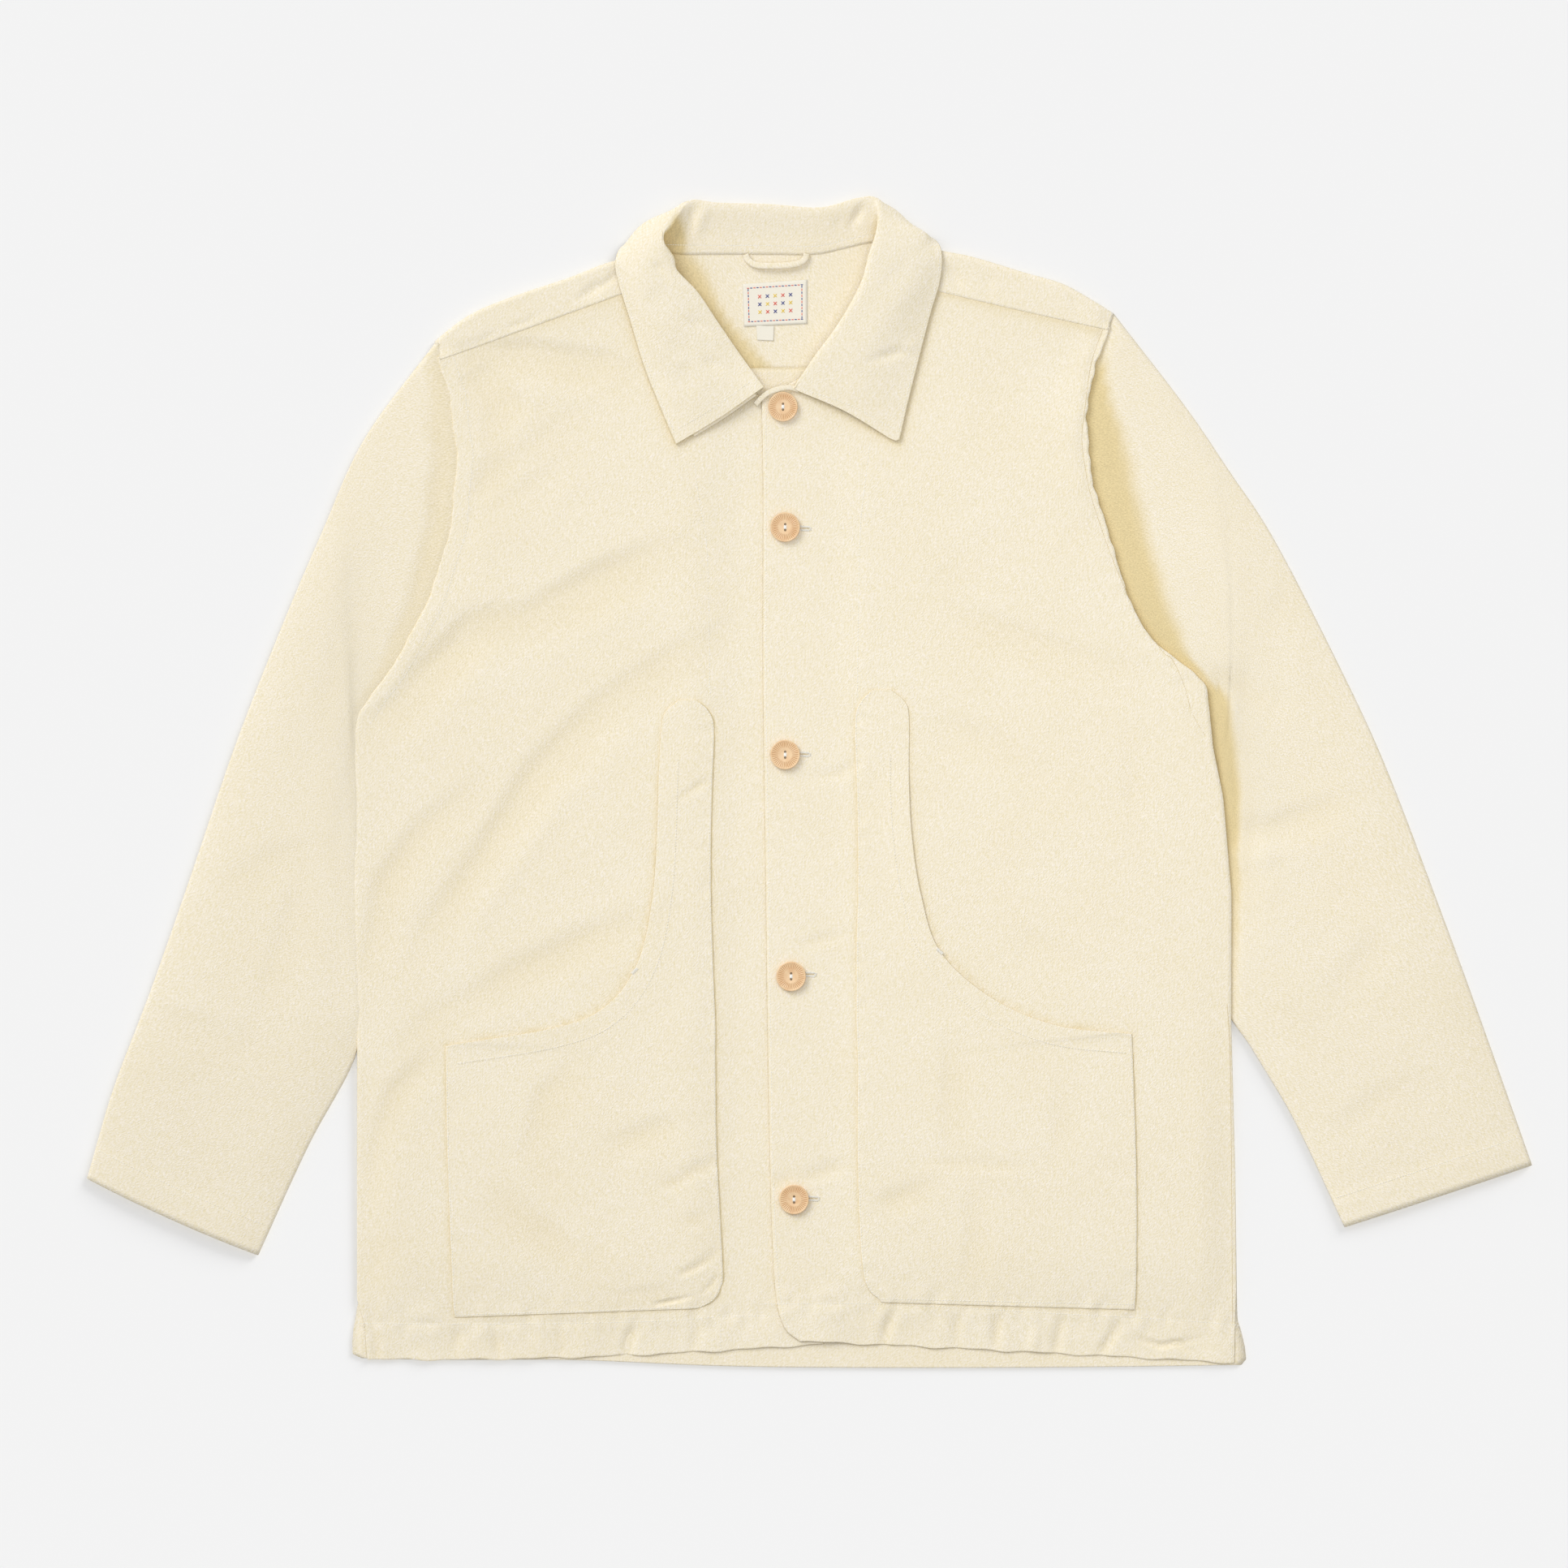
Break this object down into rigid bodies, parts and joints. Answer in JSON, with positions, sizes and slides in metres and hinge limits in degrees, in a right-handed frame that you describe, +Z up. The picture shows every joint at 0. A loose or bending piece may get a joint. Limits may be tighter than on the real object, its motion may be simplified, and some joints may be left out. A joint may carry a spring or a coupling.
{
  "type": "work jacket",
  "caption": "Cotton chore jacket laid flat, buttoned, with a turned-down collar, set-in sleeves, back yoke, curved patch pockets and a hanger loop.",
  "frame": {"origin": "middle of the laid-out jacket's outline, on the surface it lies on", "axes": "+Z up from the surface, +Y towards the collar, +X towards the wearer's left sleeve"},
  "size_m": [0.979, 0.7935, 0.015],
  "materials": {
    "cotton": "matt cream slub cotton with a fine diagonal grain",
    "cotton_inside": "the same cotton on the inside and the back",
    "label_cloth": "off-white woven tape",
    "button_resin": "turned tan resin with a soft gloss"
  },
  "bodies": {
    "root": {"back": "cotton_inside", "yoke": "cotton", "front_right": "cotton", "front_left": "cotton", "sleeve_right": "cotton", "sleeve_left": "cotton", "collar": "cotton", "pocket_right": "cotton", "pocket_left": "cotton", "hanger_loop": "cotton", "neck_label": "label_cloth", "size_tag": "label_cloth", "button_1": "button_resin", "button_2": "button_resin", "button_3": "button_resin", "button_4": "button_resin", "button_5": "button_resin"}
  },
  "joints": []
}
